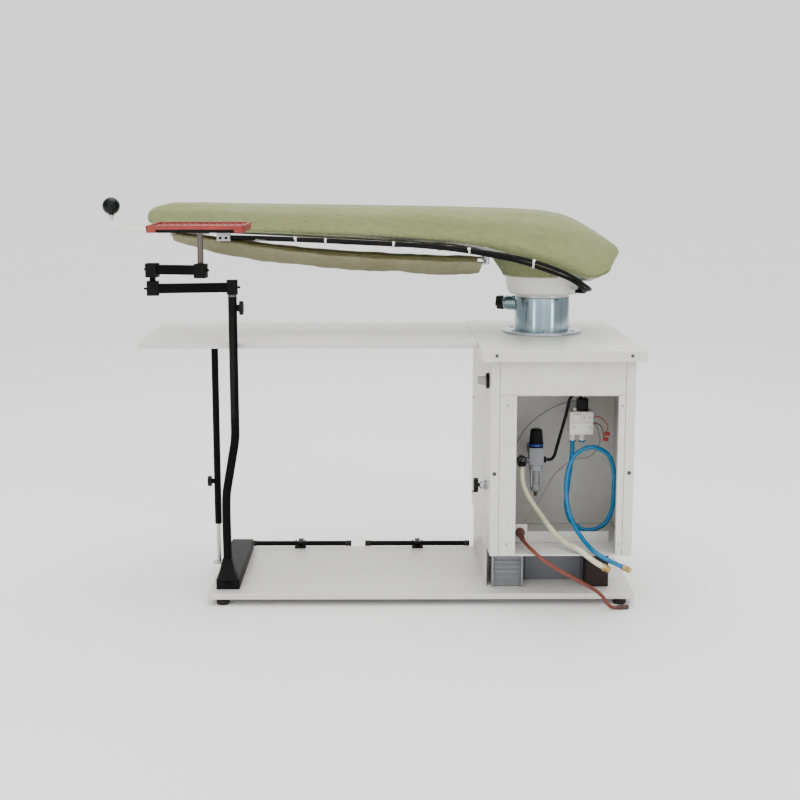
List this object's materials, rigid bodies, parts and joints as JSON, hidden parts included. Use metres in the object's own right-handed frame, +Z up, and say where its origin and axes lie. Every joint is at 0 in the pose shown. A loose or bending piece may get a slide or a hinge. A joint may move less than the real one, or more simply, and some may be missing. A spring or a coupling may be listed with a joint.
{
  "type": "sleeve ironing board",
  "caption": "Padded swivelling sleeve board on a pedestal over a service cabinet, with a garment shelf, a catch cloth and an iron rest on a jointed arm.",
  "frame": {"origin": "on the floor, under the middle of the whole machine's bounding box", "axes": "+X along the board from its nose to the cabinet, +Y from the open front of the cabinet to its back, +Z up"},
  "size_m": [1.19, 0.556, 0.879],
  "materials": {
    "white_paint": "satin powder coat",
    "neck_paint": "smooth off-white moulding",
    "rubber": "matt rubber",
    "black_paint": "satin black powder coat",
    "black_plastic": "moulded black plastic",
    "brown_rubber": "matt dark brown rubber",
    "zinc": "bright bluish zinc plate",
    "steel": "brushed steel",
    "pale_metal": "pale satin metal",
    "cover_fabric": "green cotton cover over foam",
    "catch_fabric": "olive cotton sling",
    "red_silicone": "red silicone",
    "bowl_plastic": "translucent polycarbonate",
    "cream_plastic": "cream moulding",
    "blue_hose": "smooth blue polyurethane",
    "cream_hose": "cream PVC",
    "black_hose": "black polyurethane",
    "brown_lead": "reddish brown rubber sheath",
    "brass": "machined brass"
  },
  "bodies": {
    "stand": {"base_foot_front_left": "rubber", "base_foot_front_right": "rubber", "base_foot_rear_left": "rubber", "base_foot_rear_right": "rubber", "base_plate": "white_paint", "black_hose": "black_hose", "blue_hose": "blue_hose", "blue_hose_fitting": "brass", "cabinet_base": "white_paint", "cabinet_foot_left": "steel", "cabinet_foot_right": "rubber", "cabinet_front_frame": "white_paint", "cabinet_left_panel": "white_paint", "cabinet_rear_shell": "white_paint", "cable_gland": "black_plastic", "compartment_wall": "white_paint", "cream_hose": "cream_hose", "cream_hose_fitting": "brass", "filter_bowl": "bowl_plastic", "filter_regulator": "pale_metal", "lead_connector": "brown_rubber", "pedal_left_bracket": "black_paint", "pedal_right_bracket": "black_paint", "pedestal_column": "zinc", "pedestal_flange": "zinc", "power_lead": "brown_lead", "rest_stand": "black_paint", "shelf": "white_paint", "shelf_leg_rod": "black_paint", "shelf_leg_tube": "black_paint", "solenoid_coil": "black_plastic", "suction_duct": "steel", "swivel_bearing": "steel", "tabletop": "white_paint", "vacuum_blower": "steel", "valve_block": "cream_plastic"},
    "board": {"board_cushion": "cover_fabric", "board_neck": "neck_paint", "board_pan": "steel", "neck_cover": "cover_fabric", "handle_bar": "pale_metal", "ball_knob": "black_plastic", "catch_cloth": "catch_fabric", "catch_cloth_frame": "steel", "air_line_upper": "black_hose", "air_line_lower": "black_hose"},
    "rest_post": {"arm_post": "steel"},
    "rest_lower_arm": {"lower_arm": "black_paint"},
    "rest_upper_arm": {"upper_arm": "black_paint"},
    "iron_rest": {"rest_rod": "steel", "rest_pan": "black_paint", "rest_mat": "red_silicone"},
    "pedestal_knob": {"pedestal_clamp_knob": "black_plastic"},
    "leg_knob": {"leg_clamp_knob": "black_plastic"},
    "shelf_knob": {"shelf_leg_knob": "black_plastic"},
    "cabinet_knob": {"side_knob": "black_plastic"},
    "switch": {"rotary_switch": "black_plastic"},
    "regulator_cap": {"regulator_knob": "black_plastic"},
    "left_pedal": {"pedal_left": "black_paint"},
    "right_pedal": {"pedal_right": "black_paint"}
  },
  "joints": [
    {"name": "board_swivel", "type": "hinge", "parent": "stand", "child": "board", "pos_m": [0.405, 0.066, 0.654], "axis": [0, 0, 1], "range_deg": [-90, 0]},
    {"name": "pedestal_knob_turn", "type": "hinge", "parent": "stand", "child": "pedestal_knob", "pos_m": [0.32135, 0.10501, 0.636], "axis": [0.9063, -0.4226, 0], "range_deg": [-180, 180]},
    {"name": "rest_height", "type": "slide", "parent": "stand", "child": "rest_post", "axis": [0, 0, 1], "range_m": [0, 0.08]},
    {"name": "leg_knob_turn", "type": "hinge", "parent": "stand", "child": "leg_knob", "pos_m": [-0.2667, -0.154, 0.651], "axis": [1, 0, 0], "range_deg": [-180, 180]},
    {"name": "lower_arm_swing", "type": "hinge", "parent": "rest_post", "child": "rest_lower_arm", "pos_m": [-0.281, -0.154, 0.695], "axis": [0, 0, 1], "range_deg": [0, 110]},
    {"name": "upper_arm_swing", "type": "hinge", "parent": "rest_lower_arm", "child": "rest_upper_arm", "pos_m": [-0.446, -0.179, 0.734], "axis": [0, 0, 1], "range_deg": [-110, 0]},
    {"name": "rest_turn", "type": "hinge", "parent": "rest_upper_arm", "child": "iron_rest", "pos_m": [-0.341, -0.199, 0.764], "axis": [0, 0, 1], "range_deg": [-90, 90]},
    {"name": "shelf_knob_turn", "type": "hinge", "parent": "stand", "child": "shelf_knob", "pos_m": [-0.3593, 0.041, 0.225], "axis": [1, 0, 0], "range_deg": [-180, 180]},
    {"name": "cabinet_knob_turn", "type": "hinge", "parent": "stand", "child": "cabinet_knob", "pos_m": [0.2493, -0.139, 0.258], "axis": [1, 0, 0], "range_deg": [-180, 180]},
    {"name": "switch_turn", "type": "hinge", "parent": "stand", "child": "switch", "pos_m": [0.2678, -0.179, 0.497], "axis": [1, 0, 0], "range_deg": [0, 90]},
    {"name": "regulator_turn", "type": "hinge", "parent": "stand", "child": "regulator_cap", "pos_m": [0.381, -0.089, 0.3333], "axis": [0, 0, 1], "range_deg": [-270, 270]},
    {"name": "left_pedal_press", "type": "hinge", "parent": "stand", "child": "left_pedal", "pos_m": [-0.1635, 0.17, 0.038], "axis": [1, 0, 0], "range_deg": [-10, 0], "stiffness_Nm_per_rad": 8, "springref_deg": 3.44},
    {"name": "right_pedal_press", "type": "hinge", "parent": "stand", "child": "right_pedal", "pos_m": [0.122, 0.17, 0.038], "axis": [1, 0, 0], "range_deg": [-10, 0], "stiffness_Nm_per_rad": 8, "springref_deg": 3.44}
  ]
}
